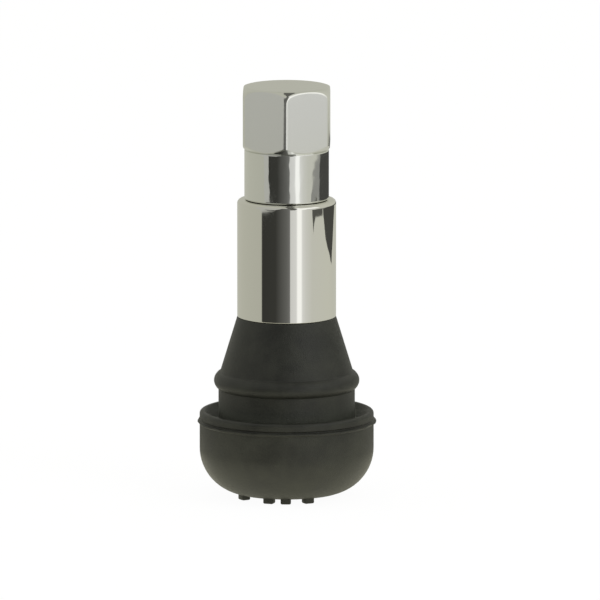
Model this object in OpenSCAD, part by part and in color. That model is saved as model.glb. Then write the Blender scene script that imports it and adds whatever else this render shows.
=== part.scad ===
// Snap-in tyre valve with a plated sleeve and a hexagon screw cap.
// It stands on its rubber base with the stem along Z. Sizes are in millimetres.
// Names ending in _d are diameters, _r radii, _h and _l heights and lengths, _z levels above the floor.

/* [Valve] */
// Length from the underside of the bulb to the tip of the stem
valve_l = 42.5; // [40:0.5:62]

/* [Rubber bulb] */
// Height of the stand-off pads under the bulb
pad_h = 0.6; // [0.3:0.1:1]
// Width of a pad along its ring
pad_w = 1.15; // [0.6:0.05:1.5]
// Depth of a pad towards the axis
pad_depth = 1; // [0.5:0.1:1.5]
// Diameter of the ring that the pads stand on
pad_ring_d = 10.8; // [9:0.1:11]
// Diameter of the bulb
bulb_d = 19.4; // [18.5:0.1:22]
// Height of the bulb from its underside to the top of its lip
bulb_h = 9.1; // [8:0.1:11]
// Radius of the rounding at the foot of the bulb
bulb_round_r = 5.1; // [4.5:0.1:6.5]
// Diameter of the flat underside
underside_d = 12; // [12:0.1:14]
// How far the mould flash stands out of the bulb
flash_w = 0.3; // [0.1:0.05:0.5]
// Thickness of the mould flash where it leaves the bulb
flash_h = 0.4; // [0.2:0.05:0.6]
// Distance of the flash below the top of the lip
flash_drop = 1.1; // [0.7:0.05:1.3]
// Width of the flat sealing edge of the lip
lip_w = 0.25; // [0.15:0.05:0.5]
// Size of the rounding outside the sealing edge
lip_round_r = 0.35; // [0.2:0.05:0.5]
// Depth of the dish inside the lip
dish_depth = 1.3; // [0.6:0.1:2]
// Width of the floor of the dish beside the neck
dish_floor_w = 0.5; // [0.2:0.1:0.9]
// Diameter of the air mouth in the underside
mouth_d = 5.2; // [4:0.1:6]

/* [Rubber neck] */
// Diameter of the neck that sits in the rim hole
neck_d = 15.2; // [14.4:0.1:15.6]
// Diameter of the snap-in bead above the neck
bead_d = 16.2; // [15.8:0.1:17]
// Height of the bead
bead_h = 2.2; // [1.6:0.1:2.6]
// Height of the middle of the bead above the lip
bead_rise = 3.4; // [2.6:0.1:5]
// Diameter of the cone where it leaves the bead
cone_foot_d = 15.4; // [14.8:0.1:15.7]
// Height of the cone from the middle of the bead to the sleeve
cone_h = 7.2; // [6:0.1:9]

/* [Sleeve] */
// Diameter of the sleeve
sleeve_d = 11; // [10.6:0.1:12]
// Wall thickness of the sleeve
sleeve_wall = 0.4; // [0.3:0.05:0.6]
// Radius of the rolled edge at the top of the sleeve
sleeve_round_r = 0.45; // [0.2:0.05:0.6]
// Radius of the eased edge at the foot of the sleeve
sleeve_ease_r = 0.12; // [0.05:0.01:0.2]

/* [Cap] */
// Size of the hexagon across its flats
cap_af = 9.6; // [9.5:0.1:11]
// How far the corners of the hexagon are turned down
corner_ease = 0.09; // [0.03:0.01:0.2]
// Turn of the hexagon about the stem, in degrees
hex_turn = -1.5; // [-30:0.5:30]
// Height of the hexagon
hex_l = 7.1; // [5:0.1:8]
// Height of the chamfer from the skirt to the corners
hex_chamfer_h = 0.75; // [0.5:0.05:1.2]
// Diameter of the flat on top of the cap
crown_flat_d = 8.8; // [8:0.1:9]
// Fall of the rounded top of the cap from its flat to the corners
crown_drop = 0.95; // [0.6:0.05:0.95]
// Thickness of the top of the cap over its seal
crown_h = 2; // [1.8:0.1:3]
// Diameter of the skirt
skirt_d = 9.4; // [9.2:0.05:9.4]
// Radius of the eased edge at the foot of the skirt
skirt_ease_r = 0.18; // [0.05:0.01:0.3]
// Gap between the foot of the skirt and the sleeve
cap_gap = 0.1; // [0.05:0.05:0.4]
// Thickness of the seal in the cap
seal_h = 1.1; // [0.8:0.1:1.6]
// Diameter of the hole in the seal
seal_hole_d = 3.2; // [2:0.1:4]
// Overhang of the seal beyond the bore of the cap, which keeps it in
seal_catch = 0.12; // [0.05:0.01:0.15]

/* [Stem] */
// Diameter of the cap thread
thread_d = 7.7; // [7.3:0.05:7.75]
// Height of the stem that stands out of the sleeve
thread_out_h = 9.6; // [8.4:0.1:11]
// Height of the plain relief between the sleeve and the thread
relief_h = 0.5; // [0.3:0.1:1]
// Diameter of the stem below the thread
waist_d = 6.4; // [6:0.1:7]
// Bevel at the tip of the stem
tip_bevel = 0.45; // [0.2:0.05:0.6]
// Bevel in the mouth of the stem
mouth_bevel = 0.22; // [0.1:0.02:0.3]
// Diameter of the foot of the stem
foot_d = 9; // [8:0.1:10]
// Height of the foot of the stem
foot_h = 4.6; // [4.2:0.1:6]
// Depth of the foot above the underside of the bulb
foot_recess = 0.9; // [0.5:0.1:1.6]
// Depth of the keying grooves round the foot
key_depth = 0.5; // [0.2:0.1:0.8]
// Width of each keying groove
key_w = 0.7; // [0.4:0.1:0.8]
// Diameter of the air passage through the foot
passage_d = 3.5; // [2.6:0.1:3.6]
// Diameter of the core chamber
chamber_d = 3.9; // [3.8:0.05:4.2]
// Diameter of the core thread in the mouth of the stem
core_bore_d = 5.2; // [5:0.05:5.4]

/* [Valve core] */
// Depth of the tip of the pin below the tip of the stem
pin_recess = 0.25; // [0.1:0.05:0.8]
// Depth of the tongue of the plug below the tip of the stem
plug_recess = 1; // [0.6:0.1:1.6]
// Height of the tongue of the plug
tongue_h = 2.4; // [1.8:0.1:3]
// Width of the tongue across its flats
tongue_w = 2.2; // [1.8:0.1:2.6]
// Diameter of the tongue across its round ends
tongue_d = 4.2; // [3.4:0.1:4.6]
// Height of the threaded part of the plug
plug_h = 3.2; // [2.6:0.1:4]
// Diameter of the pin
pin_d = 0.9; // [0.7:0.05:1]
// Travel of the pin when it is pressed
pin_travel = 1.2; // [0.8:0.1:1.5]
// Diameter of the tube of the barrel
barrel_d = 3.1; // [3:0.05:3.3]
// Wall thickness of the barrel
barrel_wall = 0.35; // [0.3:0.05:0.4]
// Height of the neck of the barrel that the plug turns on
barrel_neck_h = 1.4; // [1:0.1:1.8]
// Thickness of the collar of the barrel under the plug
barrel_collar_h = 0.5; // [0.3:0.1:0.8]
// Height of the gasket round the barrel
gasket_h = 1.8; // [1.4:0.1:2.4]
// Length of the tube of the barrel below the gasket
barrel_tube_l = 4.6; // [4:0.1:6]
// Height of the ledge in the barrel that the spring stands on
ledge_h = 1.4; // [1:0.1:2]
// Thickness of the collar on the pin
pin_collar_h = 0.6; // [0.4:0.1:0.8]
// Depth of the pin's collar below the top of the barrel
pin_collar_drop = 0.6; // [0.3:0.1:0.7]
// Diameter of the spring wire
wire_d = 0.26; // [0.2:0.02:0.3]
// Number of turns in the spring
spring_turns = 7; // [5:1:9]
// Diameter of the seat cup
cup_d = 3.3; // [3.1:0.05:3.4]
// Height of the seat cup
cup_h = 2; // [1.6:0.1:2.6]
// Wall and floor thickness of the seat cup
cup_wall = 0.28; // [0.2:0.02:0.32]
// Height of the seat washer above the edge of the cup
washer_proud = 0.2; // [0.1:0.05:0.4]
// Thickness of the riveted head under the cup
rivet_h = 0.35; // [0.2:0.05:0.5]
// Diameter of the riveted head under the cup
rivet_d = 1.8; // [1.3:0.1:2.4]

/* [Clearances] */
// Radial gap round the cap thread
thread_gap = 0.15; // [0.12:0.01:0.2]
// Radial gap round the seal and between the sleeve and the thread
loose_gap = 0.13; // [0.1:0.01:0.2]
// Radial gap of the core pieces that turn or slide
running_gap = 0.06; // [0.04:0.01:0.09]

/* [Hidden] */
$fn = 96;

// Places of the raised pads round the underside, in degrees from +X
pad_angles = [-151, -111, -91, -64, 29, 69, 89, 116];

// Levels, from the floor up
base_z = pad_h;
lip_z = base_z + bulb_h;
flash_z = lip_z - flash_drop;
bead_z = lip_z + bead_rise;
sleeve_z = bead_z + cone_h;
tip_z = base_z + valve_l;
sleeve_top_z = tip_z - thread_out_h;
cap_z = sleeve_top_z + cap_gap;
seal_top_z = tip_z + seal_h;
cap_top_z = seal_top_z + crown_h;
hex_z = cap_top_z - hex_l;
foot_z = base_z + foot_recess;
grip_top_z = sleeve_top_z - sleeve_wall;
thread_z = sleeve_top_z + relief_h;

// Radii of the rubber and the sleeve
bulb_r = bulb_d / 2;
flash_r = bulb_r + flash_w;
neck_r = neck_d / 2;
sleeve_r = sleeve_d / 2;
grip_r = sleeve_r - sleeve_wall;
lip_out_r = bulb_r - lip_round_r;
lip_in_r = lip_out_r - lip_w;
bead_round_r = bead_h / 2;

// Middle of the rounding at the foot of the bulb, which meets the underside at underside_d
bulb_round_mid_r = bulb_r - bulb_round_r;
bulb_round_mid_z = base_z + sqrt(pow(bulb_round_r, 2) - pow(underside_d / 2 - bulb_round_mid_r, 2));

// Radii of the stem and the cap
thread_r = thread_d / 2;
waist_r = waist_d / 2;
foot_r = foot_d / 2;
cap_bore_r = thread_r + thread_gap;
seal_r = cap_bore_r + seal_catch;
seal_groove_r = seal_r + loose_gap;
skirt_r = skirt_d / 2;
corner_r = cap_af / sqrt(3) - corner_ease;

// Rounding of the top of the cap, level at its flat and crown_drop lower at the corners
crown_run = corner_r - crown_flat_d / 2;
crown_round_r = (pow(crown_run, 2) + pow(crown_drop, 2)) / (2 * crown_drop);

// Levels and radii of the core, from its top down
core_bore_r = core_bore_d / 2;
chamber_r = chamber_d / 2;
plug_r = core_bore_r - running_gap;
tongue_top_z = tip_z - plug_recess;
plug_top_z = tongue_top_z - tongue_h;
plug_z = plug_top_z - plug_h;
barrel_top_z = plug_z + barrel_neck_h;
barrel_collar_z = plug_z - barrel_collar_h;
gasket_z = barrel_collar_z - gasket_h;
barrel_z = gasket_z - barrel_tube_l;
barrel_r = barrel_d / 2;
barrel_bore_r = barrel_r - barrel_wall;
ledge_z = barrel_z + ledge_h;
pin_r = pin_d / 2;
pin_hole_r = pin_r + running_gap;
pin_collar_top_z = barrel_top_z - pin_collar_drop;
pin_collar_z = pin_collar_top_z - pin_collar_h;
pin_collar_r = barrel_bore_r - running_gap;
cup_r = cup_d / 2;
cup_bore_r = cup_r - cup_wall;
cup_top_z = barrel_z - washer_proud;
cup_z = cup_top_z - cup_h;
washer_z = cup_z + cup_wall;
nose_r = cup_bore_r - running_gap;
chamber_z = cup_z - rivet_h - 2 * pin_travel;

// The seat cone in the stem carries the gasket, whose foot is as wide as the chamber
seat_z = gasket_z;
seat_top_z = barrel_collar_z + barrel_collar_h / 2;
seat_slope = (core_bore_r - chamber_r) / (seat_top_z - seat_z);
gasket_foot_r = chamber_r - running_gap;
gasket_top_r = gasket_foot_r + seat_slope * gasket_h;

over = 1;

rubber_black = [0.14, 0.145, 0.13];
chrome = [0.78, 0.78, 0.75];
brass = [0.74, 0.6, 0.32];
steel = [0.62, 0.63, 0.64];
seal_black = [0.09, 0.09, 0.09];
gasket_red = [0.62, 0.12, 0.1];

// Rectangle in the half section, from one radius and level to another
module band(r0, r1, z0, z1) {
    translate([r0, z0]) square([r1 - r0, z1 - z0]);
}

// What a rounding of radius r takes off an outer corner; the point is the middle of the rounding
module rounding_off(mid_r, mid_z, r, up) {
    translate([mid_r, mid_z]) difference() {
        translate([0, up ? 0 : -r - over]) square(r + over);
        circle(r);
    }
}

// Bulb with its rounded foot, mould flash and dished sealing lip
module bulb_section() {
    difference() {
        union() {
            band(0, bulb_r, base_z, lip_z);
            polygon([
                [neck_r, flash_z - flash_h / 2], [bulb_r, flash_z - flash_h / 2],
                [flash_r, flash_z - flash_h / 5], [flash_r, flash_z + flash_h / 5],
                [bulb_r, flash_z + flash_h / 2], [neck_r, flash_z + flash_h / 2]
            ]);
        }
        rounding_off(bulb_round_mid_r, bulb_round_mid_z, bulb_round_r, false);
        rounding_off(lip_out_r, lip_z - lip_round_r, lip_round_r, true);
        polygon([
            [neck_r, lip_z - dish_depth], [neck_r + dish_floor_w, lip_z - dish_depth],
            [lip_in_r, lip_z], [lip_in_r, lip_z + over], [neck_r, lip_z + over]
        ]);
    }
}

// Neck, snap-in bead, cone, and the grip inside the sleeve
module neck_section() {
    bulb_middle_z = lip_z - bulb_h / 2;
    polygon([
        [0, bulb_middle_z], [neck_r, bulb_middle_z], [neck_r, bead_z], [cone_foot_d / 2, bead_z],
        [sleeve_r, sleeve_z], [grip_r, sleeve_z], [grip_r, grip_top_z], [0, grip_top_z]
    ]);
    translate([bead_d / 2 - bead_round_r, bead_z]) circle(bead_round_r);
}

// Outline of the brass stem, which the rubber is moulded round
module stem_outline() {
    key_step = (foot_h - key_w) / 3;
    difference() {
        polygon([
            [0, foot_z], [foot_r, foot_z], [foot_r, foot_z + foot_h],
            [waist_r, foot_z + foot_h + foot_r - waist_r], [waist_r, thread_z],
            [thread_r, thread_z + thread_r - waist_r], [thread_r, tip_z - tip_bevel],
            [thread_r - tip_bevel, tip_z], [0, tip_z]
        ]);
        for (i = [1 : 2])
            band(foot_r - key_depth, foot_r + over, foot_z + i * key_step, foot_z + i * key_step + key_w);
    }
}

// Air way through the stem: passage, core chamber, seat cone and core thread
module stem_bore() {
    polygon([
        [0, foot_z - over], [passage_d / 2, foot_z - over], [passage_d / 2, chamber_z - chamber_r + passage_d / 2],
        [chamber_r, chamber_z], [chamber_r, seat_z], [core_bore_r, seat_top_z],
        [core_bore_r, tip_z - mouth_bevel], [core_bore_r + mouth_bevel, tip_z],
        [core_bore_r + mouth_bevel, tip_z + over], [0, tip_z + over]
    ]);
}

// One stand-off pad, a short stretch of the pad ring that runs into the bulb
module pad(angle) {
    sweep = pad_w / pad_ring_d * 360 / PI;
    rotate(angle - sweep / 2)
        rotate_extrude(angle = sweep)
            band((pad_ring_d - pad_depth) / 2, (pad_ring_d + pad_depth) / 2, 0, base_z + pad_h / 2);
}

// Moulded rubber body
module rubber_body() {
    color(rubber_black) {
        rotate_extrude()
            difference() {
                union() {
                    bulb_section();
                    neck_section();
                }
                stem_outline();
                band(0, mouth_d / 2, 0, foot_z + over);
            }
        for (angle = pad_angles) pad(angle);
    }
}

// Brass stem
module valve_stem() {
    color(brass)
        rotate_extrude()
            difference() {
                stem_outline();
                stem_bore();
            }
}

// Plated sleeve with its top edge rolled in over the rubber
module chrome_sleeve() {
    color(chrome)
        rotate_extrude()
            difference() {
                band(0, sleeve_r, sleeve_z, sleeve_top_z);
                band(0, grip_r, sleeve_z - over, grip_top_z);
                band(0, cap_bore_r + loose_gap, sleeve_z, sleeve_top_z + over);
                rounding_off(sleeve_r - sleeve_round_r, sleeve_top_z - sleeve_round_r, sleeve_round_r, true);
                rounding_off(sleeve_r - sleeve_ease_r, sleeve_z + sleeve_ease_r, sleeve_ease_r, false);
            }
}

// Turned outline of the cap, before its flats are cut
module cap_outline() {
    difference() {
        polygon([
            [0, cap_z], [skirt_r, cap_z], [skirt_r, hex_z], [corner_r, hex_z + hex_chamfer_h],
            [corner_r, cap_top_z], [0, cap_top_z]
        ]);
        rounding_off(crown_flat_d / 2, cap_top_z - crown_round_r, crown_round_r, true);
        rounding_off(skirt_r - skirt_ease_r, cap_z + skirt_ease_r, skirt_ease_r, false);
    }
}

// Bore of the cap, with the groove that keeps the seal
module cap_bore() {
    band(0, cap_bore_r, cap_z - over, seal_top_z);
    band(0, seal_groove_r, tip_z, seal_top_z);
    polygon([
        [0, cap_z - over], [cap_bore_r + skirt_ease_r, cap_z - over],
        [cap_bore_r + skirt_ease_r, cap_z], [cap_bore_r, cap_z + skirt_ease_r], [0, cap_z + skirt_ease_r]
    ]);
}

// Plated hexagon cap
module cap_shell() {
    color(chrome)
        difference() {
            rotate_extrude()
                difference() {
                    cap_outline();
                    cap_bore();
                }
            for (side = [0 : 5])
                rotate(hex_turn + 60 * side)
                    translate([cap_af / 2, -cap_af / 2, hex_z])
                        cube([cap_af, cap_af, hex_l + over]);
        }
}

// Rubber seal in the cap, seated on the tip of the stem
module cap_seal() {
    color(seal_black)
        rotate_extrude()
            band(seal_hole_d / 2, seal_r, tip_z, seal_top_z);
}

// Threaded plug of the core, with the tongue that the core tool turns
module core_plug() {
    color(brass)
        difference() {
            union() {
                translate([0, 0, plug_z]) cylinder(r = plug_r, h = plug_h);
                intersection() {
                    translate([0, 0, plug_top_z - over]) cylinder(d = tongue_d, h = tongue_h + over);
                    translate([-tongue_d, -tongue_w / 2, plug_top_z - over])
                        cube([2 * tongue_d, tongue_w, tongue_h + over]);
                }
            }
            translate([0, 0, plug_z - over]) cylinder(r = pin_hole_r, h = plug_h + tongue_h + 2 * over);
            translate([0, 0, plug_z - over])
                cylinder(r = barrel_r + running_gap, h = over + barrel_neck_h + running_gap);
        }
}

// Barrel of the core, with the seat nose at its foot
module core_barrel() {
    color(brass)
        rotate_extrude()
            difference() {
                union() {
                    band(0, barrel_r, barrel_z + ledge_h / 2, barrel_top_z);
                    band(0, nose_r, barrel_z, barrel_z + ledge_h);
                    band(0, chamber_r, barrel_collar_z, plug_z);
                }
                band(0, barrel_bore_r, ledge_z, barrel_top_z + over);
                band(0, pin_r + barrel_wall, barrel_z - over, ledge_z + over);
            }
}

// Gasket round the barrel, seated on the cone in the stem
module barrel_gasket() {
    color(gasket_red)
        rotate_extrude()
            polygon([
                [barrel_r, gasket_z], [gasket_foot_r, gasket_z],
                [gasket_top_r, barrel_collar_z], [barrel_r, barrel_collar_z]
            ]);
}

// Pin of the core, riveted over under the cup
module core_pin() {
    color(steel) {
        translate([0, 0, cup_z - rivet_h]) cylinder(r = pin_r, h = tip_z - pin_recess - cup_z + rivet_h);
        translate([0, 0, cup_z - rivet_h]) cylinder(d = rivet_d, h = rivet_h);
    }
}

// Collar that the spring pushes up, pressed on the pin
module pin_collar() {
    color(brass)
        rotate_extrude()
            band(pin_r, pin_collar_r, pin_collar_z, pin_collar_top_z);
}

// Height of the spring wire after a number of turns: one closed turn at each end, open turns between
function spring_rise(turn) =
    let (
        closed = wire_d + running_gap,
        whole = pin_collar_z - ledge_z - wire_d,
        open = (whole - 2 * closed) / (spring_turns - 2)
    )
    turn < 1 ? closed * turn
    : turn > spring_turns - 1 ? whole - closed * (spring_turns - turn)
    : closed + open * (turn - 1);

// Corner of the wire's section, at a number of turns and an angle round the wire
function spring_point(turn, angle) =
    let (
        wire_r = wire_d / 2,
        r = barrel_bore_r - running_gap - wire_r + wire_r * cos(angle),
        z = ledge_z + wire_r + spring_rise(turn) + wire_r * sin(angle)
    )
    [r * cos(360 * turn), r * sin(360 * turn), z];

// Spring of the core, from the ledge in the barrel up to the collar on the pin
module core_spring() {
    sides = 8;
    steps = 24;
    rings = spring_turns * steps;
    points = [
        for (ring = [0 : rings], side = [0 : sides - 1]) spring_point(ring / steps, 360 * side / sides)
    ];
    walls = [
        for (ring = [0 : rings - 1], side = [0 : sides - 1])
            let (a = ring * sides + side, b = ring * sides + (side + 1) % sides)
            each [[a, b, a + sides], [b, b + sides, a + sides]]
    ];
    start = [for (side = [sides - 1 : -1 : 0]) side];
    end = [for (side = [0 : sides - 1]) rings * sides + side];
    color(steel) polyhedron(points, concat(walls, [start, end]));
}

// Cup on the pin that holds the seat washer
module seat_cup() {
    color(brass)
        rotate_extrude()
            difference() {
                band(pin_r, cup_r, cup_z, cup_top_z);
                band(0, cup_bore_r, washer_z, cup_top_z + over);
            }
}

// Rubber washer that closes on the nose of the barrel
module seat_washer() {
    color(seal_black)
        rotate_extrude()
            band(pin_r, cup_bore_r, washer_z, barrel_z);
}

rubber_body();
valve_stem();
chrome_sleeve();
cap_shell();
cap_seal();
core_plug();
core_barrel();
barrel_gasket();
core_pin();
pin_collar();
core_spring();
seat_cup();
seat_washer();
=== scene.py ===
"""Snap-in tyre valve: moulded rubber body, plated sleeve, hexagon screw cap and sprung core.

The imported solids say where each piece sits. Half sections are written in millimetres, turned round the
stem's axis, and scaled to metres when a piece is finished.
"""

import math
import random

import bmesh
import bpy
from mathutils import Matrix, Vector


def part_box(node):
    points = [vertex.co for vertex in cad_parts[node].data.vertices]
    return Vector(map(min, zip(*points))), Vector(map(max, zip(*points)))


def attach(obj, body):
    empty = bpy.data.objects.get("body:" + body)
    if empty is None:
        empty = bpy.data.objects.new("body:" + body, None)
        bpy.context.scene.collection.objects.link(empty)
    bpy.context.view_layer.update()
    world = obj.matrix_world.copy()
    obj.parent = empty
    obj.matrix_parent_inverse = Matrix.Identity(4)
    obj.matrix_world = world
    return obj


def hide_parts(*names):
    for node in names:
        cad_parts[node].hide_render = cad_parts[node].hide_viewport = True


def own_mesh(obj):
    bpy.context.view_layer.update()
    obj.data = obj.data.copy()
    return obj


MM = 0.001
ROUND_STEP = math.radians(7)
WELD = 0.0005

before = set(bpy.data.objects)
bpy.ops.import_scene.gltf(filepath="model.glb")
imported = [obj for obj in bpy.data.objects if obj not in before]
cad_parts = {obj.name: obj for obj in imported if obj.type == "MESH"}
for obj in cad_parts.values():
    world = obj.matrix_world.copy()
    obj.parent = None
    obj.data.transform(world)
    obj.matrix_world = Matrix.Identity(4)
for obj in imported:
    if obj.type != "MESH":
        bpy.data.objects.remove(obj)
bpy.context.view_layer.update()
scene = bpy.context.scene
scene.view_settings.view_transform = "Standard"


def extent(node):
    """Foot level, top level and half width along X of a CAD node, in millimetres."""
    low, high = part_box(node)
    return low.z / MM, high.z / MM, high.x / MM


# Levels and radii that the solids give, in millimetres
pad_foot_z, grip_top_z, flash_r = extent("rubber_body")
foot_z, tip_z, foot_r = extent("valve_stem")
sleeve_z, sleeve_top_z, sleeve_r = extent("chrome_sleeve")
cap_z, cap_top_z, _ = extent("cap_shell")
seal_z, seal_top_z, _ = extent("cap_seal")
plug_z, tongue_top_z, plug_r = extent("core_plug")
pin_foot_z, pin_top_z, rivet_r = extent("core_pin")
spring_z, spring_top_z, spring_r = extent("core_spring")

# Rubber body
base_z = 0.6
mouth_r = 2.6
underside_r = 6.0
bulb_r = 9.7
bulb_round = 5.1
bulb_mid = (4.6, 5.504)
flash_z = 8.5
flash_h = 0.4
flash_tear = 0.012
flash_lift = 0.05
crease_z = 8.74
crease_w = 0.2
crease_depth = 0.1
lip_z = 9.7
lip_in_r = 9.1
dish_z = 8.4
dish_floor_r = 8.1
dish_round = 0.3
# Light painted into the dish fades out at this level
painted_dish_light_top_z = 11.4
neck_r = 7.6
neck_rows = 8
bead_r = 8.1
bead_round = 1.05
bead_foot_z = 12.18
bead_low_z = 12.5
bead_high_z = 13.82
cone_foot = (7.4, 14.11)
pad_angles = (-151, -111, -91, -64, 29, 69, 89, 116)
pad_ring_r = 5.4
pad_size = (1.0, 1.15, 0.95)
pad_ease = 0.16

# Plated sleeve
sleeve_wall = 0.4
sleeve_mouth_r = 4.13
shoulder_ease = 0.45
sleeve_foot_ease = 0.12

# Hexagon cap. Its foot lies lower than the solid's by gap_trim, so that the gap under it is a thin line.
gap_trim = 0.065
cap_foot_z = cap_z - gap_trim
cap_bore_r = 4.0
seal_groove_r = 4.25
skirt_r = 4.7
skirt_ease = 0.18
collar_r = 4.6
collar_ease = 0.09
hex_h = 7.1
hex_z = cap_top_z - hex_h
hex_turn = math.radians(-1.5)
flat_r = 4.8
corner_r = 5.4526
chamfer_h = 0.75
crown_flat_r = 4.4
crown_round = 1.0581
edge_blend = 0.06
guard_w = 0.05
foot_ease = 0.05
rim_ease = 0.2
rim_share = 0.25

# Brass stem and its threads
cap_pitch = 0.79375
core_pitch = 0.7056
thread_r = 3.85
thread_root_r = 3.4
cap_thread_crest_r = 3.5
cap_thread_foot = 0.25
cap_thread_head = 0.1
flank_angle = math.radians(30)
ridge_sink = 0.08
ridge_gap = 0.04
relief_h = 0.5
thread_z = sleeve_top_z + relief_h
foot_top_z = 6.1
waist_z = 7.4
waist_r = 3.2
key_levels = (2.8, 4.1)
key_r = 4.0
key_w = 0.7
mouth_bevel = 0.22
core_bore_r = 2.6
core_thread_crest_r = 2.32
chamber_r = 1.95
passage_r = 1.75
seat_z = 34.2
seat_top_z = 36.25
chamber_z = 24.65

# Valve core
pin_r = 0.45
pin_hole_r = 0.51
rivet_h = 0.35
plug_top_z = 39.7
plug_root_r = 2.2
plug_crest_gap = 0.02
neck_socket = (1.61, 37.96)
tongue_r = 2.1
tongue_w = 2.2
tongue_sink = 0.2
tongue_root_z = plug_top_z - tongue_sink
tongue_ease = 0.06
wire_r = 0.13
coil_gap = 0.06
spring_turns = 7


def section(corners, closed=True):
    """Starts a mesh with a half section in the XZ plane; a corner is (radius, level, rounding)."""
    bm = bmesh.new()
    verts = [bm.verts.new((r, 0, z)) for r, z, rounding in corners]
    for start, end in zip(verts, verts[1:]):
        bm.edges.new((start, end))
    if closed:
        bm.edges.new((verts[-1], verts[0]))
    for vert, (r, z, rounding) in zip(verts, corners):
        if rounding:
            ahead, behind = (edge.other_vert(vert).co - vert.co for edge in vert.link_edges)
            bend = math.pi - ahead.angle(behind)
            bmesh.ops.bevel(
                bm, geom=[vert], offset=rounding * math.tan(bend / 2), offset_type="OFFSET",
                segments=max(3, round(bend / ROUND_STEP)), profile=0.5, affect="VERTICES", material=-1,
            )
    return bm


def arc(mid, r, start, end, steps):
    """Points of a rounding about mid, between two angles in degrees above the outward direction."""
    angles = [math.radians(start + (end - start) * step / steps) for step in range(steps + 1)]
    return [(mid[0] + r * math.cos(angle), mid[1] + r * math.sin(angle)) for angle in angles]


def spread(start, end, steps):
    """Points in even steps between two points, without those two."""
    return [tuple(a + (b - a) * step / steps for a, b in zip(start, end)) for step in range(1, steps)]


def turn(bm, steps, sides=8):
    """Turns the half section round the stem's axis: one side of the ring first, then its copies."""
    bmesh.ops.spin(
        bm, geom=bm.verts[:] + bm.edges[:], cent=(0, 0, 0), axis=(0, 0, 1), dvec=(0, 0, 0),
        angle=2 * math.pi / sides, steps=steps // sides, use_duplicate=False,
    )
    bmesh.ops.spin(
        bm, geom=bm.verts[:] + bm.edges[:] + bm.faces[:], cent=(0, 0, 0), axis=(0, 0, 1),
        dvec=(0, 0, 0), angle=2 * math.pi, steps=sides, use_duplicate=True,
    )
    bmesh.ops.remove_doubles(bm, verts=bm.verts, dist=WELD)


def join(bm, other):
    """Moves another mesh into bm."""
    mesh = bpy.data.meshes.new("joined")
    other.to_mesh(mesh)
    other.free()
    bm.from_mesh(mesh)
    bpy.data.meshes.remove(mesh)


def wind_thread(bm, root_r, crest_r, pitch, low_z, high_z, crest_z, steps=48):
    """Winds a right-hand thread ridge on a wall at root_r and chamfers it away at both ends.

    A crest inside the root makes an inner thread. A crest crosses the +X side at crest_z.
    """
    outward = 1 if crest_r > root_r else -1
    depth = abs(crest_r - root_r)
    crest_w = pitch / 8
    root_w = crest_w + 2 * depth * math.tan(flank_angle)
    sunk_r = root_r - outward * ridge_sink
    start_z = crest_z - pitch * math.ceil((crest_z - low_z + root_w / 2) / pitch)
    turns = math.ceil((high_z + root_w / 2 - start_z) / pitch)
    ridge = bmesh.new()
    ridge.faces.new([
        ridge.verts.new((sunk_r, 0, start_z - root_w / 2)),
        ridge.verts.new((root_r, 0, start_z - root_w / 2)),
        ridge.verts.new((crest_r, 0, start_z - crest_w / 2)),
        ridge.verts.new((crest_r, 0, start_z + crest_w / 2)),
        ridge.verts.new((root_r, 0, start_z + root_w / 2)),
        ridge.verts.new((sunk_r, 0, start_z + root_w / 2)),
    ])
    bmesh.ops.spin(
        ridge, geom=ridge.verts[:] + ridge.edges[:] + ridge.faces[:], cent=(0, 0, 0), axis=(0, 0, 1),
        dvec=(0, 0, pitch / steps), angle=2 * math.pi * turns, steps=steps * turns, use_duplicate=False,
    )
    for vert in ridge.verts:
        vert.co.z = min(max(vert.co.z, low_z), high_z)
        room = min(vert.co.z - low_z, high_z - vert.co.z) - ridge_gap
        r = math.hypot(vert.co.x, vert.co.y)
        proud = (r - root_r) * outward
        if proud > room:
            scale = (root_r + outward * room) / r
            vert.co.x *= scale
            vert.co.y *= scale
    join(bm, ridge)


def finish_piece(bm, name, body, finish, nodes=(), sharp=38):
    """Makes a piece of the mesh, with its finish, that rides on a body in place of CAD nodes."""
    bmesh.ops.remove_doubles(bm, verts=bm.verts, dist=WELD)
    bmesh.ops.recalc_face_normals(bm, faces=bm.faces)
    bmesh.ops.scale(bm, verts=bm.verts, vec=(MM, MM, MM))
    mesh = bpy.data.meshes.new(name)
    bm.to_mesh(mesh)
    bm.free()
    mesh.shade_smooth()
    mesh.set_sharp_from_angle(angle=math.radians(sharp))
    mesh.materials.append(finish)
    piece = bpy.data.objects.new(name, mesh)
    scene.collection.objects.link(piece)
    even = piece.modifiers.new("true flats", "WEIGHTED_NORMAL")
    even.keep_sharp = True
    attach(piece, body)
    for node in nodes:
        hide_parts(node)
    return piece


# Materials

def put(tree, kind, feeds, **settings):
    """Adds a node with its settings; feeds gives inputs by name or number, as values or as outputs."""
    made = tree.nodes.new("ShaderNode" + kind)
    for name, value in settings.items():
        setattr(made, name, value)
    for name, value in feeds.items():
        if isinstance(value, bpy.types.NodeSocket):
            tree.links.new(value, made.inputs[name])
        else:
            made.inputs[name].default_value = value
    return made


def start_group(name, inputs, outputs):
    """A new shader node group with number inputs and outputs, and its two end nodes."""
    tree = bpy.data.node_groups.new(name, "ShaderNodeTree")
    for label in inputs:
        tree.interface.new_socket(label, in_out="INPUT", socket_type="NodeSocketFloat")
    for label in outputs:
        tree.interface.new_socket(label, in_out="OUTPUT", socket_type="NodeSocketFloat")
    return tree, tree.nodes.new("NodeGroupInput").outputs, tree.nodes.new("NodeGroupOutput").inputs


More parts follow.
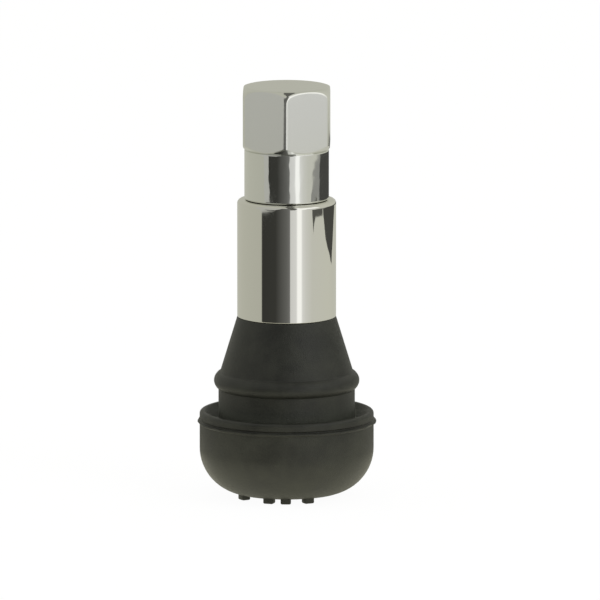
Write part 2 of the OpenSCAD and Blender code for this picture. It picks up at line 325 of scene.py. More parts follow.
def moulded_grain_group():
    """Fine pimples of a moulded surface, and a broad mottle."""
    tree, given, result = start_group("moulded grain", ["Grain", "Patches"], ["Height", "Mottle"])
    place = put(tree, "TexCoord", {}).outputs["Object"]
    pimples = put(
        tree, "TexNoise", {"Vector": place, "Scale": given["Grain"], "Detail": 3.0, "Roughness": 0.6},
    )
    patches = put(tree, "TexNoise", {"Vector": place, "Scale": given["Patches"], "Detail": 4.0}).outputs
    mottle = put(tree, "MapRange", {"Value": patches["Fac"], "From Min": 0.35, "From Max": 0.65})
    tree.links.new(pimples.outputs["Fac"], result["Height"])
    tree.links.new(mottle.outputs["Result"], result["Mottle"])
    return tree


def tool_marks_group():
    """Marks left by a tool: lines along the axis where Around is large, rings where Along is large."""
    tree, given, result = start_group("tool marks", ["Around", "Along"], ["Height", "Smears"])
    place = put(tree, "TexCoord", {}).outputs["Object"]
    across = put(tree, "VectorMath", {0: place, 1: (1, 1, 0)}, operation="MULTIPLY").outputs["Vector"]
    side = put(tree, "VectorMath", {0: across}, operation="NORMALIZE").outputs["Vector"]
    radius = put(tree, "VectorMath", {0: across}, operation="LENGTH").outputs["Value"]
    level = put(tree, "SeparateXYZ", {"Vector": place}).outputs["Z"]
    reach = put(tree, "Math", {0: radius, 1: level}, operation="ADD").outputs["Value"]
    row = put(tree, "Math", {0: reach, 1: given["Along"]}, operation="MULTIPLY").outputs["Value"]
    ring = put(tree, "VectorMath", {0: side, "Scale": given["Around"]}, operation="SCALE").outputs
    lift = put(tree, "CombineXYZ", {"Z": row}).outputs["Vector"]
    spot = put(tree, "VectorMath", {0: ring["Vector"], 1: lift}, operation="ADD").outputs["Vector"]
    marks = put(tree, "TexNoise", {"Vector": spot, "Scale": 1.0, "Detail": 3.0, "Roughness": 0.6})
    smears = put(tree, "TexNoise", {"Vector": place, "Scale": 320.0, "Detail": 3.0})
    dulled = put(tree, "MapRange", {"Value": smears.outputs["Fac"], "From Min": 0.35, "From Max": 0.7})
    tree.links.new(marks.outputs["Fac"], result["Height"])
    tree.links.new(dulled.outputs["Result"], result["Smears"])
    return tree


moulded_grain = moulded_grain_group()
tool_marks = tool_marks_group()


def start_material(name, **values):
    """A new material with its Principled shader; values are set on the shader's own sockets."""
    material = bpy.data.materials.new(name)
    material.use_nodes = True
    tree = material.node_tree
    shader = tree.nodes["Principled BSDF"]
    for label, value in values.items():
        shader.inputs[label.replace("_", " ")].default_value = value
    return material, tree, shader


def bump(tree, shader, height, strength, depth):
    """Raises the surface by a height pattern; depth is in millimetres."""
    made = put(tree, "Bump", {"Height": height, "Strength": strength, "Distance": depth * MM})
    tree.links.new(made.outputs["Normal"], shader.inputs["Normal"])


def mix_colours(tree, share, first, second):
    """Output that goes from the first colour to the second as share goes from 0 to 1."""
    return put(tree, "Mix", {"Factor": share, 6: first, 7: second}, data_type="RGBA").outputs[2]


def moulded(name, dark, pale, rough, grain, depth):
    """Rubber or plastic from a mould, mottled between two colours."""
    material, tree, shader = start_material(name)
    marks = put(tree, "Group", {}, node_tree=moulded_grain)
    marks.inputs["Grain"].default_value = grain
    marks.inputs["Patches"].default_value = patch_scale
    mottle = marks.outputs["Mottle"]
    colour = mix_colours(tree, mottle, (*dark, 1), (*pale, 1))
    # Painted light: the colour turns paler in the dish and at the foot of the neck, against their shade
    painted_dish_light = put(tree, "Attribute", {}, attribute_name="painted_dish_light").outputs["Fac"]
    colour_with_dish_light = mix_colours(tree, painted_dish_light, colour, (*painted_dish_light_colour, 1))
    tree.links.new(colour_with_dish_light, shader.inputs["Base Color"])
    sheen = put(tree, "MapRange", {"Value": mottle, "To Min": rough, "To Max": rough + sheen_spread})
    tree.links.new(sheen.outputs["Result"], shader.inputs["Roughness"])
    bump(tree, shader, marks.outputs["Height"], grain_strength, depth)
    return material


def metal(name, colour, rough, around, along, scratch):
    """Metal with tool marks; rough gives the roughness of its cleanest and dullest spots."""
    material, tree, shader = start_material(name, Base_Color=(*colour, 1), Metallic=1.0)
    marks = put(tree, "Group", {}, node_tree=tool_marks)
    marks.inputs["Around"].default_value = around
    marks.inputs["Along"].default_value = along
    smears = marks.outputs["Smears"]
    gloss = put(tree, "MapRange", {"Value": smears, "To Min": rough[0], "To Max": rough[1]})
    tree.links.new(gloss.outputs["Result"], shader.inputs["Roughness"])
    bump(tree, shader, marks.outputs["Height"], scratch_strength, scratch)
    return material


def milled_chrome(name, colour, polished, satin):
    """Plating that is polished and faintly wavy where it was turned, and satin where it was milled."""
    material = metal(name, colour, polished, around=55.0, along=60.0, scratch=0.0004)
    tree = material.node_tree
    shader = tree.nodes["Principled BSDF"]
    gloss = shader.inputs["Roughness"].links[0].from_socket
    milled = put(tree, "Attribute", {}, attribute_name="milled").outputs["Fac"]
    blend = put(tree, "Mix", {"Factor": milled, "A": gloss, "B": satin})
    tree.links.new(blend.outputs["Result"], shader.inputs["Roughness"])
    place = put(tree, "TexCoord", {}).outputs["Object"]
    spot = put(tree, "VectorMath", {0: place, 1: wave_scale}, operation="MULTIPLY").outputs["Vector"]
    waves = put(tree, "TexNoise", {"Vector": spot, "Scale": 1.0, "Detail": 1.0}).outputs["Fac"]
    turned = put(tree, "Math", {0: 1.0, 1: milled}, operation="SUBTRACT").outputs[0]
    scratches = shader.inputs["Normal"].links[0].from_socket
    wavy = put(
        tree, "Bump",
        {"Height": waves, "Strength": turned, "Distance": wave_depth * MM, "Normal": scratches},
    )
    tree.links.new(wavy.outputs["Normal"], shader.inputs["Normal"])
    return material


# Waves in the cap's plating, then what all moulded pieces and all metals share, and the colour of the
# light painted into the dish
wave_depth = 0.02
wave_scale = (950.0, 950.0, 480.0)
patch_scale = 420.0
sheen_spread = 0.08
grain_strength = 0.6
scratch_strength = 0.5
painted_dish_light_colour = (0.058, 0.064, 0.05)
rubber = moulded("moulded rubber", (0.011, 0.012, 0.0092), (0.0235, 0.025, 0.019), 0.44, 9000.0, 0.06)
seal_rubber = moulded("seal rubber", (0.012, 0.012, 0.012), (0.02, 0.02, 0.019), 0.5, 7000.0, 0.02)
gasket_plastic = moulded("gasket plastic", (0.4, 0.035, 0.03), (0.47, 0.05, 0.04), 0.35, 5000.0, 0.006)
sleeve_chrome = metal("sleeve chrome", (0.78, 0.775, 0.73), (0.02, 0.045), 70.0, 60.0, 0.0003)
cap_chrome = milled_chrome("cap chrome", (0.77, 0.775, 0.74), (0.04, 0.09), 0.2)
stem_brass = metal("stem brass", (0.72, 0.55, 0.26), (0.2, 0.32), 2.0, 9000.0, 0.006)
core_brass = metal("core brass", (0.7, 0.53, 0.24), (0.18, 0.3), 2.0, 11000.0, 0.004)
pin_steel = metal("pin steel", (0.55, 0.55, 0.54), (0.16, 0.26), 14.0, 300.0, 0.003)
spring_steel = metal("spring steel", (0.5, 0.5, 0.5), (0.18, 0.3), 14.0, 2000.0, 0.002)


# Pieces

def stem_outside(top_z):
    """Outside of the stem from its foot up to a level, with the two keying grooves round its foot."""
    points = [(foot_r, foot_z)]
    for low_z in key_levels:
        points += [(foot_r, low_z), (key_r, low_z), (key_r, low_z + key_w), (foot_r, low_z + key_w)]
    points += [(foot_r, foot_top_z), (waist_r, waist_z), (waist_r, top_z)]
    return [(r, z, 0) for r, z in points]


def rubber_skin():
    """Moulded body with bulb, flash, dished lip, neck, bead, cone and the grip inside the sleeve."""
    neck_wall = spread((neck_r, dish_z + dish_round), (neck_r, bead_foot_z), neck_rows)
    outside = [
        (mouth_r, foot_z, 0),
        (mouth_r, base_z, 0.12),
        (underside_r, base_z, 0.3),
        *((r, z, 0) for r, z in arc(bulb_mid, bulb_round, -73, 0, 14)),
        (bulb_r, flash_z - flash_h / 2, 0.06),
        (flash_r, flash_z - flash_h / 5, 0.05),
        (flash_r, flash_z + flash_h / 5, 0.05),
        (bulb_r, crease_z - crease_w / 2, 0.03),
        (bulb_r - crease_depth, crease_z, 0.04),
        (bulb_r, crease_z + crease_w / 2, 0.06),
        (bulb_r, lip_z, 0.35),
        (lip_in_r, lip_z, 0.08),
        (dish_floor_r, dish_z, dish_round),
        (neck_r, dish_z, dish_round),
        *((r, z, 0) for r, z in neck_wall),
        (neck_r, bead_foot_z, 0),
        (bead_r, bead_low_z, bead_round),
        (bead_r, bead_high_z, bead_round),
        (*cone_foot, 0.3),
        (sleeve_r, sleeve_z, 0.2),
        (sleeve_r - sleeve_wall, sleeve_z, 0),
        (sleeve_r - sleeve_wall, grip_top_z, 0),
    ]
    bm = section(outside + stem_outside(grip_top_z)[::-1])
    turn(bm, 192)
    ripple_flash(bm)
    # Light painted into the dish and the foot of the neck
    paint_dish_light(bm)
    for angle in pad_angles:
        add_pad(bm, math.radians(angle))
    return finish_piece(bm, "rubber_skin", "valve_body", rubber, ["rubber_body"])


def ripple_flash(bm):
    """Trims the mould flash unevenly, as a torn edge is."""
    least_proud = 0.02
    chance = random.Random(5)
    waves = [(chance.choice((3, 5, 7, 11, 17, 26)), chance.uniform(0, 2 * math.pi)) for _ in range(6)]
    for vert in bm.verts:
        r = math.hypot(vert.co.x, vert.co.y)
        proud = (r - bulb_r) / (flash_r - bulb_r)
        if proud > least_proud:
            angle = math.atan2(vert.co.y, vert.co.x)
            wave = sum(math.sin(count * angle + phase) for count, phase in waves) / len(waves)
            scale = 1 - proud * (0.5 + wave) * flash_tear
            vert.co.x *= scale
            vert.co.y *= scale
            vert.co.z += flash_lift * proud * wave


def paint_dish_light(bm):
    """Paints light into the dish behind the lip and the foot of the neck, most at the dish's floor."""
    margin = 0.1
    painted_dish_light = bm.verts.layers.float.new("painted_dish_light")
    for vert in bm.verts:
        r = math.hypot(vert.co.x, vert.co.y)
        if neck_r - margin < r < lip_in_r and dish_z - margin < vert.co.z < painted_dish_light_top_z:
            vert[painted_dish_light] = (painted_dish_light_top_z - vert.co.z) / (painted_dish_light_top_z - dish_z)


def add_pad(bm, angle):
    """One raised pad under the bulb, with eased edges."""
    made = bmesh.ops.create_cube(bm, size=1)
    verts = made["verts"]
    bmesh.ops.scale(bm, verts=verts, vec=pad_size)
    bmesh.ops.translate(bm, verts=verts, vec=(pad_ring_r, 0, pad_foot_z + pad_size[2] / 2))
    bmesh.ops.rotate(bm, verts=verts, cent=(0, 0, 0), matrix=Matrix.Rotation(angle, 3, "Z"))
    edges = list({edge for vert in verts for edge in vert.link_edges})
    bmesh.ops.bevel(
        bm, geom=edges, offset=pad_ease, offset_type="OFFSET", segments=3, profile=0.5, affect="EDGES",
        material=-1,
    )


def sleeve_plating():
    """Drawn sleeve with its top edge rolled in and its foot eased."""
    grip_r = sleeve_r - sleeve_wall
    plain = wall((sleeve_r, sleeve_z + sleeve_foot_ease), (sleeve_r, sleeve_top_z - shoulder_ease), 4)
    bm = section([
        (grip_r, sleeve_z, 0.04),
        (sleeve_r, sleeve_z, sleeve_foot_ease),
        *((r, z, 0) for r, z in plain),
        (sleeve_r, sleeve_top_z, shoulder_ease),
        (sleeve_mouth_r, sleeve_top_z, 0.12),
        (sleeve_mouth_r, grip_top_z, 0.05),
        (grip_r, grip_top_z, 0.05),
    ])
    turn(bm, 256)
    return finish_piece(
        bm, "sleeve_plating", "valve_body", sleeve_chrome, ["chrome_sleeve"],
    )


def cap_plating():
    """Turned cap with six milled flats, a bore with the cap thread, and the groove for its seal."""
    seam_r = (cap_bore_r + skirt_r) / 2
    bm = section([
        (0, seal_top_z, 0),
        (seal_groove_r, seal_top_z, 0.1),
        (seal_groove_r, seal_z, 0.05),
        (cap_bore_r, seal_z, 0.05),
        (cap_bore_r, cap_foot_z, 0.2),
        (seam_r, cap_foot_z, 0),
    ], closed=False)
    bmesh.ops.rotate(bm, verts=bm.verts, cent=(0, 0, 0), matrix=Matrix.Rotation(hex_turn, 3, "Z"))
    turn(bm, 384, sides=6)
    join(bm, cap_outside(seam_r))
    wind_thread(
        bm, cap_bore_r, cap_thread_crest_r, cap_pitch, cap_foot_z + cap_thread_foot,
        seal_z - cap_thread_head, tip_z + cap_pitch / 2,
    )
    return finish_piece(bm, "cap_plating", "cap", cap_chrome, ["cap_shell"])


def cap_outside(seam_r):
    """Outside of the cap: a tube with a row for each point of the outline, drawn out to the flats."""
    rows = len(cap_column(seam_r, flat_r))
    bm = section([(1, row, 0) for row in range(rows)], closed=False)
    turn(bm, 384, sides=6)
    milled = bm.verts.layers.float.new("milled")
    side = math.pi / 3
    columns = {}
    for vert in bm.verts:
        bearing = math.atan2(vert.co.y, vert.co.x)
        middle = round(bearing / side) * side
        off = (bearing - middle) / (side / 2)
        near_corner = 1.5 * off - 0.5 * off ** 3
        wall_r = flat_wall(side / 2 * near_corner)
        key = round(wall_r, 6)
        if key not in columns:
            columns[key] = cap_column(seam_r, wall_r)
        r, z, satin = columns[key][round(vert.co.z)]
        vert[milled] = satin
        bearing = middle + side / 2 * near_corner + hex_turn
        vert.co = (r * math.cos(bearing), r * math.sin(bearing), z)
    return bm


def flat_wall(angle):
    """Radius of the hexagon at an angle from the middle of a flat, blended into its turned corner."""
    wall_r = flat_r / math.cos(angle)
    near = max(edge_blend - abs(wall_r - corner_r), 0) / edge_blend
    return min(wall_r, corner_r) - near ** 2 * edge_blend / 4


def cap_column(seam_r, wall_r):
    """Outline of the cap from seam_r up to the middle of its top where the hexagon is wall_r wide.

    A point is (radius, level, satin), and satin is 1 on the milled flat. A narrow row beside each
    rounding keeps the reflections on the plain walls straight.
    """
    chamfer_top = hex_z + chamfer_h * (wall_r - collar_r) / (corner_r - collar_r)
    crown_mid = (crown_flat_r, cap_top_z - crown_round)
    lean = math.degrees(math.acos((wall_r - crown_flat_r) / crown_round))
    rim = arc(crown_mid, crown_round, lean, lean + (90 - lean) * rim_share, 1)[1]
    flat_foot = (wall_r, chamfer_top + foot_ease)
    flat_top = (wall_r, crown_mid[1] + crown_round * math.sin(math.radians(lean)) - rim_ease)
    turned = [(seam_r, cap_foot_z)]
    turned += arc((skirt_r - skirt_ease, cap_foot_z + skirt_ease), skirt_ease, -90, 0, 5)
    turned += wall((skirt_r, cap_foot_z + skirt_ease), (skirt_r, hex_z - collar_ease), 4)
    turned += arc((skirt_r - collar_ease, hex_z - collar_ease), collar_ease, 0, 90, 5)
    chamfer = spread((collar_r, hex_z), (wall_r, chamfer_top), 8)
    foot_edge = bend(chamfer[-1], (wall_r, chamfer_top), flat_foot)
    flat = wall(flat_foot, flat_top, 10)
    rim_edge = bend(flat_top, (wall_r, flat_top[1] + rim_ease), rim)
    crown = arc(crown_mid, crown_round, lean + (90 - lean) * rim_share, 90, 12)[1:]
    top = spread(crown[-1], (0, cap_top_z), 4) + [(0, cap_top_z)]
    plain = [(r, z, 0.0) for r, z in turned + chamfer]
    edges = [[(r, z, 0.5) for r, z in edge] for edge in (foot_edge, rim_edge)]
    satin = [(r, z, 1.0) for r, z in flat]
    return plain + edges[0] + satin + edges[1] + [(r, z, 0.0) for r, z in crown + top]


def wall(foot, top, steps):
    """Points up a plain wall between two roundings, with a narrow row next to each of them."""
    low = (foot[0], foot[1] + guard_w)
    high = (top[0], top[1] - guard_w)
    return [low, *spread(low, high, steps), high]


def bend(start, corner, end, steps=5):
    """Points of an eased corner, from after start up to and with end."""
    points = []
    for step in range(1, steps + 1):
        t = step / steps
        points.append(tuple(
            (1 - t) ** 2 * a + 2 * t * (1 - t) * b + t ** 2 * c for a, b, c in zip(start, corner, end)
        ))
    return points


def threaded_stem():
    """Brass stem with the cap thread outside its head, and the core thread, seat and air way inside."""
    bore = [
        (thread_root_r, thread_z + thread_root_r - waist_r, 0),
        (thread_root_r, tip_z, 0.04),
        (core_bore_r + mouth_bevel, tip_z, 0.04),
        (core_bore_r, tip_z - mouth_bevel, 0),
        (core_bore_r, seat_top_z, 0),
        (chamber_r, seat_z, 0.1),
        (chamber_r, chamber_z, 0),
        (passage_r, chamber_z + passage_r - chamber_r, 0),
        (passage_r, foot_z, 0.1),
    ]
    bm = section(stem_outside(thread_z) + bore)
    turn(bm, 128)
    wind_thread(bm, thread_root_r, thread_r, cap_pitch, thread_z, tip_z, tip_z)
    wind_thread(
        bm, core_bore_r, core_thread_crest_r, core_pitch, seat_top_z, tip_z - mouth_bevel, plug_top_z,
    )
    return finish_piece(bm, "threaded_stem", "valve_body", stem_brass, ["valve_stem"])


def threaded_plug():
    """Plug of the core: a threaded ring on the barrel's neck, with the tongue that turns it."""
    bm = section([
        (pin_hole_r, plug_top_z, 0.05),
        (plug_root_r, plug_top_z, 0.1),
        (plug_root_r, plug_z, 0.1),
        (neck_socket[0], plug_z, 0.05),
        (*neck_socket, 0.05),
        (pin_hole_r, neck_socket[1], 0),
    ])
    turn(bm, 96)
    wind_thread(
        bm, plug_root_r, plug_r - plug_crest_gap, core_pitch, plug_z, plug_top_z,
        plug_top_z + core_pitch / 2,
    )
    add_tongue(bm)
    return finish_piece(bm, "threaded_plug", "valve_body", core_brass, ["core_plug"])


def add_tongue(bm):
    """Turned tongue with its two sides milled flat."""
    blank = section([
        (pin_hole_r, tongue_root_z, 0),
        (tongue_r, tongue_root_z, 0),
        (tongue_r, tongue_top_z, 0.15),
        (pin_hole_r, tongue_top_z, 0.15),
    ])
    turn(blank, 96)
    for way in (-1, 1):
        cut = bmesh.ops.bisect_plane(
            blank, geom=blank.verts[:] + blank.edges[:] + blank.faces[:], dist=0.0001,
            plane_co=(0, way * tongue_w / 2, 0), plane_no=(0, way, 0), clear_outer=True,
        )
        rim = [edge for edge in cut["geom_cut"] if isinstance(edge, bmesh.types.BMEdge)]
        side = bmesh.ops.contextual_create(blank, geom=rim)["faces"]
        bmesh.ops.bevel(
            blank, geom=list({edge for face in side for edge in face.edges}), offset=tongue_ease,
            offset_type="OFFSET", segments=3, profile=0.5, affect="EDGES", material=-1,
        )
    join(bm, blank)


def riveted_pin():
    """Pin of the core with a rounded tip and a riveted head."""
    bm = section([
        (0, pin_foot_z, 0),
        (rivet_r, pin_foot_z, 0.2),
        (rivet_r, pin_foot_z + rivet_h, 0.08),
        (pin_r, pin_foot_z + rivet_h, 0),
        (pin_r, pin_top_z, 0.22),
        (0, pin_top_z, 0),
    ], closed=False)
    turn(bm, 48)
    return finish_piece(bm, "riveted_pin", "pin", pin_steel, ["core_pin"])


def wound_spring():
    """Spring of round wire with one closed turn at each end."""
    bm = bmesh.new()
    wire = bmesh.ops.create_circle(bm, cap_ends=True, segments=12, radius=wire_r)["verts"]
    bmesh.ops.rotate(bm, verts=wire, cent=(0, 0, 0), matrix=Matrix.Rotation(math.pi / 2, 3, "X"))
    bmesh.ops.translate(bm, verts=wire, vec=(spring_r - wire_r, 0, spring_z + wire_r))
    closed_rise = 2 * wire_r + coil_gap
    open_rise = spring_top_z - spring_z - 2 * wire_r - 2 * closed_rise
    end = bm.verts[:] + bm.edges[:] + bm.faces[:]
    steps = 40
    for turns, rise in ((1, closed_rise), (spring_turns - 2, open_rise), (1, closed_rise)):
        end = bmesh.ops.spin(
            bm, geom=end, cent=(0, 0, 0), axis=(0, 0, 1), dvec=(0, 0, rise / turns / steps),
            angle=2 * math.pi * turns, steps=steps * turns, use_duplicate=False,
        )["geom_last"]
    piece = finish_piece(bm, "wound_spring", "valve_body", spring_steel, ["core_spring"])
    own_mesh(piece)
    return piece


# Stage

def stage_object(name, bm, material):
    """A stage mesh in metres, which isn't part of the valve."""
    mesh = bpy.data.meshes.new(name)
    bm.to_mesh(mesh)
    bm.free()
    mesh.materials.append(material)
    made = bpy.data.objects.new(name, mesh)
    scene.collection.objects.link(made)
    return made


def set_stops(ramp, stops):
    """Gives a colour ramp its stops, each (place, colour); the places go from 0 to 1."""
    elements = ramp.color_ramp.elements
    for place, _ in stops[1:-1]:
        elements.new(place)
    for element, (_, colour) in zip(elements, stops):
        element.color = (*colour, 1)


# Brightness of the tent round the valve and the share of blue in it, by bearing in degrees from the
# camera's side towards +X
tent_stops = (
    (-180, 0.50, 0.87), (-150, 0.55, 0.87), (-58.5, 0.505, 0.87), (-57.5, 0.04, 0.9), (-25, 0.045, 0.9),
    (0, 0.14, 0.95), (7, 0.19, 0.97), (8.5, 0.72, 0.98), (22, 0.8, 0.99), (24.5, 1.15, 0.99),
    (33, 1.15, 0.99), (36, 0.8, 0.98), (45, 0.7, 0.95), (60, 0.63, 0.91), (110, 0.63, 0.88),
    (150, 0.58, 0.88), (180, 0.50, 0.87),
)
tent_r = 0.075
tent_h = 0.14
# Brightness and share of blue of the tent's top and of the dark slot in it, and the slot in millimetres
tent_top_look = (0.55, 0.88)
top_slot_look = (0.13, 0.9)
top_slot = ((-4, -8), (2, -74), (26, -69), (20, -6), (9, 74), (-2, 74))
# Brightness of the floor close to the valve, by distance from the axis in millimetres
# Painted light: the low values paint a shadow under the valve and shade further off, the high ones a
# bright ring round it
floor_stops = ((0, 0.5), (4, 0.5), (10, 1.08), (22, 1.15), (45, 0.5))
floor_tint = (1, 0.98, 0.79, 1)
# Lengths of mirrored rays over which the floor takes up the tent's bands, in millimetres
band_reach = (24, 37)
# Sines of the angles over which those bands reach their full brightness, and their least share of it
band_rise = (0.2, 0.36)
band_least = 0.3
# Brightness of the white that the camera sees, and how much of the floor doesn't take shadows
white_level = 1.02
floor_glow = 0.94
floor_colour = (0.9, 0.9, 0.88, 1)
floor_half = 2.0
# Room light, and the lamp with its place and aim in metres
room_tint = (1, 0.99, 0.94, 1)
room_level = 0.75
lamp_size = 0.25
lamp_power = 0.5
lamp_place = (0.3, -0.25, 0.35)
lamp_aim = (0, 0, 0.02)


def bare_material(name):
    """A new material with an empty node tree."""
    material = bpy.data.materials.new(name)
    material.use_nodes = True
    tree = material.node_tree
    tree.nodes.clear()
    return material, tree


def tent_bands(tree):
    """Colour output that follows the bearing round the axis."""
    place = put(tree, "TexCoord", {}).outputs["Object"]
    axes = put(tree, "SeparateXYZ", {"Vector": place}).outputs
    front = put(tree, "Math", {0: axes["Y"], 1: -1.0}, operation="MULTIPLY").outputs[0]
    bearing = put(tree, "Math", {0: axes["X"], 1: front}, operation="ARCTAN2").outputs[0]
    share = put(tree, "MapRange", {"Value": bearing, "From Min": -math.pi, "From Max": math.pi})
    ramp = put(tree, "ValToRGB", {"Fac": share.outputs["Result"]})
    stops = [((degrees + 180) / 360, (value, value, value * blue)) for degrees, value, blue in tent_stops]
    set_stops(ramp, stops)
    return ramp.outputs["Color"]


def close_floor(tree):
    """Painted light of the floor near the valve, by distance from the axis, with a painted shadow right
    under the valve.
    """
    place = put(tree, "TexCoord", {}).outputs["Object"]
    reach = put(tree, "VectorMath", {0: place}, operation="LENGTH").outputs["Value"]
    widest = floor_stops[-1][0]
    share = put(tree, "MapRange", {"Value": reach, "From Max": widest * MM}).outputs["Result"]
    fade = put(tree, "ValToRGB", {"Fac": share})
    set_stops(fade, [(r / widest, (value,) * 3) for r, value in floor_stops])
    return put(tree, "Emission", {"Color": floor_tint, "Strength": fade.outputs["Color"]}).outputs[0]


def banded_floor(tree, incoming):
    """Painted light of the floor with the tent's bands, dimmer at low angles."""
    rise = put(tree, "SeparateXYZ", {"Vector": incoming}).outputs["Z"]
    low, high = band_rise
    steep = put(tree, "MapRange", {"Value": rise, "From Min": low, "From Max": high, "To Min": band_least})
    feeds = {"Color": tent_bands(tree), "Strength": steep.outputs["Result"]}
    return put(tree, "Emission", feeds).outputs[0]


def add_floor():
    """White floor with a faint shadow, clear from below. Rays other than the camera's see painted light on
    it: a painted shadow under the valve, and further off the tent's bands, which metal mirrors.
    """
    material, tree = bare_material("white floor")
    ray = put(tree, "LightPath", {}).outputs
    surface = put(tree, "NewGeometry", {}).outputs
    lit = put(tree, "BsdfDiffuse", {"Color": floor_colour}).outputs[0]
    white = put(tree, "Emission", {"Color": (1, 1, 1, 1), "Strength": white_level}).outputs[0]
    bright = put(tree, "MixShader", {0: floor_glow, 1: lit, 2: white}).outputs[0]
    low, high = (length * MM for length in band_reach)
    far = put(tree, "MapRange", {"Value": ray["Ray Length"], "From Min": low, "From Max": high})
    close = close_floor(tree)
    banded = banded_floor(tree, surface["Incoming"])
    mirrored = put(tree, "MixShader", {0: far.outputs["Result"], 1: close, 2: banded}).outputs[0]
    top = put(tree, "MixShader", {0: ray["Is Camera Ray"], 1: mirrored, 2: bright}).outputs[0]
    clear = put(tree, "BsdfTransparent", {}).outputs[0]
    whole = put(tree, "MixShader", {0: surface["Backfacing"], 1: top, 2: clear}).outputs[0]
    put(tree, "OutputMaterial", {"Surface": whole})
    bm = bmesh.new()
    bmesh.ops.create_grid(bm, x_segments=1, y_segments=1, size=floor_half)
    stage_object("floor", bm, material)


def glow(name, value, blue):
    """Card material of one plain brightness, with a share of blue that makes it warm or neutral."""
    material, tree = bare_material(name)
    light = put(tree, "Emission", {"Color": (value, value, value * blue, 1), "Strength": 1.0})
    put(tree, "OutputMaterial", {"Surface": light.outputs[0]})
    return material


def only_reflected(card):
    """Lets a card show in polished metal and nowhere else."""
    card.visible_camera = False
    card.visible_diffuse = False
    card.visible_transmission = False
    card.visible_volume_scatter = False
    card.visible_shadow = False


def add_tent():
    """Paper tent with a dark front panel and a bright strip, seen only in the polished metal."""
    material, tree = bare_material("tent paper")
    light = put(tree, "Emission", {"Color": tent_bands(tree), "Strength": 1.0})
    put(tree, "OutputMaterial", {"Surface": light.outputs[0]})
    bm = bmesh.new()
    edge = bm.edges.new((bm.verts.new((0, tent_r, 0)), bm.verts.new((0, tent_r, tent_h))))
    bmesh.ops.spin(
        bm, geom=edge.verts[:] + [edge], cent=(0, 0, 0), axis=(0, 0, 1), dvec=(0, 0, 0),
        angle=2 * math.pi, steps=128, use_merge=True, use_duplicate=False,
    )
    only_reflected(stage_object("tent", bm, material))
    bm = bmesh.new()
    bmesh.ops.create_circle(bm, cap_ends=True, segments=64, radius=tent_r)
    bmesh.ops.translate(bm, verts=bm.verts, vec=(0, 0, tent_h))
    only_reflected(stage_object("tent_top", bm, glow("tent top", *tent_top_look)))
    bm = bmesh.new()
    bm.faces.new([bm.verts.new((x * MM, y * MM, tent_h - MM)) for x, y in top_slot])
    only_reflected(stage_object("top_slot", bm, glow("top slot", *top_slot_look)))


# Cards in front of the tent: brightness, share of blue, and corners as (bearing in degrees, level in
# millimetres). Each hangs at a share of the tent's radius, a step further in than the one before it.
card_share = 0.985
card_step = 0.001
cards = {
    "wall over the dark panel": (0.51, 0.945, (
        (-76, 28.6), (-62, 28.6), (-62, 21.7), (-57, 21.7), (-26, 22.1), (-26, 22.2), (-44, 22.3),
        (-47, 24), (-50, 25.2), (-50, 29.5), (-26, 30.5), (-22, 43), (-20, 50), (-15, 62), (-13, 92),
        (3, 94), (4, 139), (-76, 139),
    )),
    "dark head": (0.12, 0.9, (
        (8, 30), (19, 32), (22, 50), (25, 62), (27, 95), (22, 139), (0, 139), (3, 94), (8, 60),
    )),
    "bright sheet": (1.15, 0.97, (
        (29, 31), (44, 37), (72, 46), (82, 45), (78, 90), (45, 94), (33, 85), (29, 60),
    )),
    "right wall": (0.665, 0.99, ((46, 28.8), (68, 28.8), (68, 46), (46, 46))),
    "dark sliver": (0.1, 0.9, (
        (60, 22.3), (60.5, 21.3), (63.4, 19.3), (65, 20.3), (69, 21.1), (90, 21.1), (90, 22.3),
    )),
    "dark streak": (0.068, 0.9, (
        (91, 22.3), (92, 21.3), (96.6, 19.6), (100.2, 18.3), (108, 17.1), (116.4, 16.2), (121.2, 15.4),
        (126.3, 14.9), (128, 16.1), (132, 17.4), (138.5, 19.9), (144, 21.4), (144, 22.3),
    )),
    "grey band": (0.3, 0.95, ((67, 22.4), (104, 22.4), (104, 29), (88, 28), (74, 26))),
    "dark band": (0.066, 0.95, ((97, 22.2), (179, 22.2), (179, 29.5), (103, 29.5))),
}


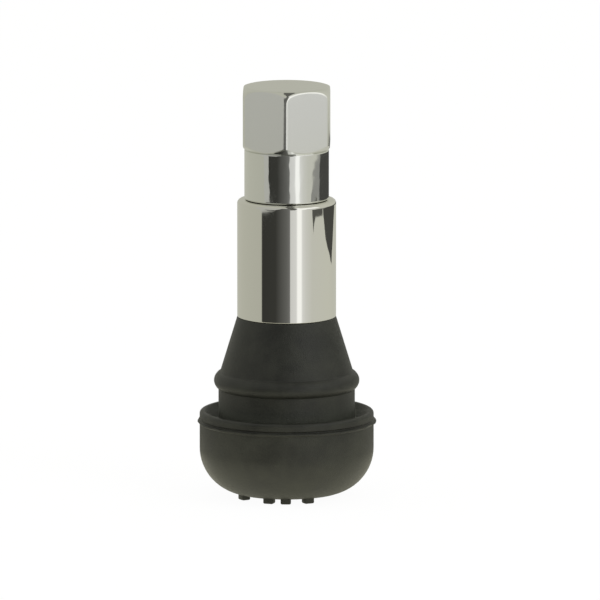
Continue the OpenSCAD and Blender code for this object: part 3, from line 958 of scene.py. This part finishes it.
def add_card(name, value, blue, corners, r):
    """Card hung just inside the tent at radius r, bent round it."""
    bm = bmesh.new()
    bm.faces.new([bm.verts.new((math.radians(bearing), 0, level * MM)) for bearing, level in corners])
    bm.normal_update()
    bmesh.ops.triangulate(bm, faces=bm.faces)
    bmesh.ops.subdivide_edges(bm, edges=bm.edges, cuts=12, use_grid_fill=True)
    for vert in bm.verts:
        bearing = vert.co.x
        vert.co.x = r * math.sin(bearing)
        vert.co.y = -r * math.cos(bearing)
    only_reflected(stage_object(name, bm, glow(name, value, blue)))


def add_light():
    """Plain white world and one soft lamp from the upper right."""
    world = bpy.data.worlds.new("white room")
    scene.world = world
    world.use_nodes = True
    tree = world.node_tree
    tree.nodes.clear()
    seen = put(tree, "LightPath", {}).outputs["Is Camera Ray"]
    room = put(tree, "Background", {"Color": room_tint, "Strength": room_level}).outputs[0]
    backdrop = put(tree, "Background", {"Color": (1, 1, 1, 1), "Strength": white_level}).outputs[0]
    whole = put(tree, "MixShader", {0: seen, 1: room, 2: backdrop}).outputs[0]
    put(tree, "OutputWorld", {"Surface": whole})
    lamp = bpy.data.lights.new("soft lamp", "AREA")
    lamp.shape = "DISK"
    lamp.size = lamp_size
    lamp.energy = lamp_power
    made = bpy.data.objects.new("soft lamp", lamp)
    made.location = lamp_place
    made.rotation_euler = (Vector(lamp_aim) - made.location).to_track_quat("-Z", "Y").to_euler()
    made.visible_glossy = False
    scene.collection.objects.link(made)


def add_camera():
    """Camera at the photograph's angle."""
    data = bpy.data.cameras.new("camera")
    data.lens = 916.4
    data.sensor_width = 36
    made = bpy.data.objects.new("camera", data)
    target = Vector((0.001485, 0, 0.0221))
    rise = math.radians(9.4)
    distance = 1.7
    made.location = target + distance * Vector((0, -math.cos(rise), math.sin(rise)))
    made.rotation_euler = (target - made.location).to_track_quat("-Z", "Y").to_euler()
    scene.collection.objects.link(made)
    scene.camera = made


rubber_skin()
sleeve_plating()
cap_plating()
threaded_stem()
threaded_plug()
riveted_pin()
wound_spring()

kept_nodes = {
    "cap_seal": seal_rubber,
    "core_barrel": core_brass,
    "barrel_gasket": gasket_plastic,
    "pin_collar": core_brass,
    "seat_cup": core_brass,
    "seat_washer": seal_rubber,
}
for name, finish in kept_nodes.items():
    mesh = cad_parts[name].data
    mesh.materials.clear()
    mesh.materials.append(finish)

add_camera()
add_light()
add_floor()
add_tent()
for place, (name, (value, blue, corners)) in enumerate(cards.items()):
    add_card(name, value, blue, corners, tent_r * (card_share - card_step * place))
